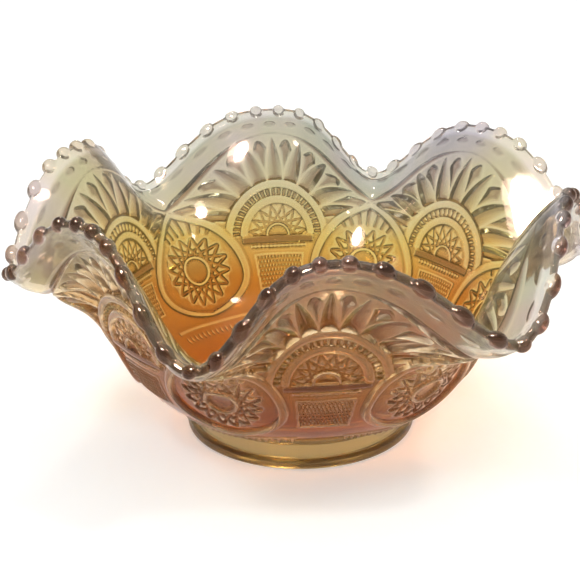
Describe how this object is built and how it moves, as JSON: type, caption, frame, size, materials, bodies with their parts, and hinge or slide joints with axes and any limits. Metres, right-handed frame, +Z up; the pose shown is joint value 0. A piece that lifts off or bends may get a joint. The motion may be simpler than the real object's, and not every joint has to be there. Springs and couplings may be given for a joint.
{
  "type": "ruffled glass bowl",
  "caption": "Round pressed-glass serving bowl with a ruffled, beaded rim, cut-glass style sunburst and star pattern outside, smooth inside, on a collar foot.",
  "frame": {"origin": "centre of the foot, at the height of its flat underside", "axes": "+Z up along the bowl's axis, -Y towards the crest at the front"},
  "size_m": [0.2192, 0.2061, 0.1033],
  "materials": {
    "wall_glass": "clear marigold-stained glass with a soft iridescent film, deeper amber towards the foot and greyer towards the rim",
    "foot_glass": "smooth amber glass",
    "bead_glass": "rounded, fire-polished amber-brown glass",
    "pattern_glass": "pressed facets with a pink and gold iridescent film"
  },
  "bodies": {
    "root": {"bowl_wall": "wall_glass", "collar_foot": "foot_glass", "rim_beads_1": "bead_glass", "sunburst_1": "pattern_glass", "arch_bands_1": "pattern_glass", "half_star_1": "pattern_glass", "crossbar_1": "pattern_glass", "hatched_block_1": "pattern_glass", "oval_band_1": "pattern_glass", "hobstar_1": "pattern_glass", "rim_beads_2": "bead_glass", "sunburst_2": "pattern_glass", "arch_bands_2": "pattern_glass", "half_star_2": "pattern_glass", "crossbar_2": "pattern_glass", "hatched_block_2": "pattern_glass", "oval_band_2": "pattern_glass", "hobstar_2": "pattern_glass", "rim_beads_3": "bead_glass", "sunburst_3": "pattern_glass", "arch_bands_3": "pattern_glass", "half_star_3": "pattern_glass", "crossbar_3": "pattern_glass", "hatched_block_3": "pattern_glass", "oval_band_3": "pattern_glass", "hobstar_3": "pattern_glass", "rim_beads_4": "bead_glass", "sunburst_4": "pattern_glass", "arch_bands_4": "pattern_glass", "half_star_4": "pattern_glass", "crossbar_4": "pattern_glass", "hatched_block_4": "pattern_glass", "oval_band_4": "pattern_glass", "hobstar_4": "pattern_glass", "rim_beads_5": "bead_glass", "sunburst_5": "pattern_glass", "arch_bands_5": "pattern_glass", "half_star_5": "pattern_glass", "crossbar_5": "pattern_glass", "hatched_block_5": "pattern_glass", "oval_band_5": "pattern_glass", "hobstar_5": "pattern_glass", "rim_beads_6": "bead_glass", "sunburst_6": "pattern_glass", "arch_bands_6": "pattern_glass", "half_star_6": "pattern_glass", "crossbar_6": "pattern_glass", "hatched_block_6": "pattern_glass", "oval_band_6": "pattern_glass", "hobstar_6": "pattern_glass"}
  },
  "joints": []
}
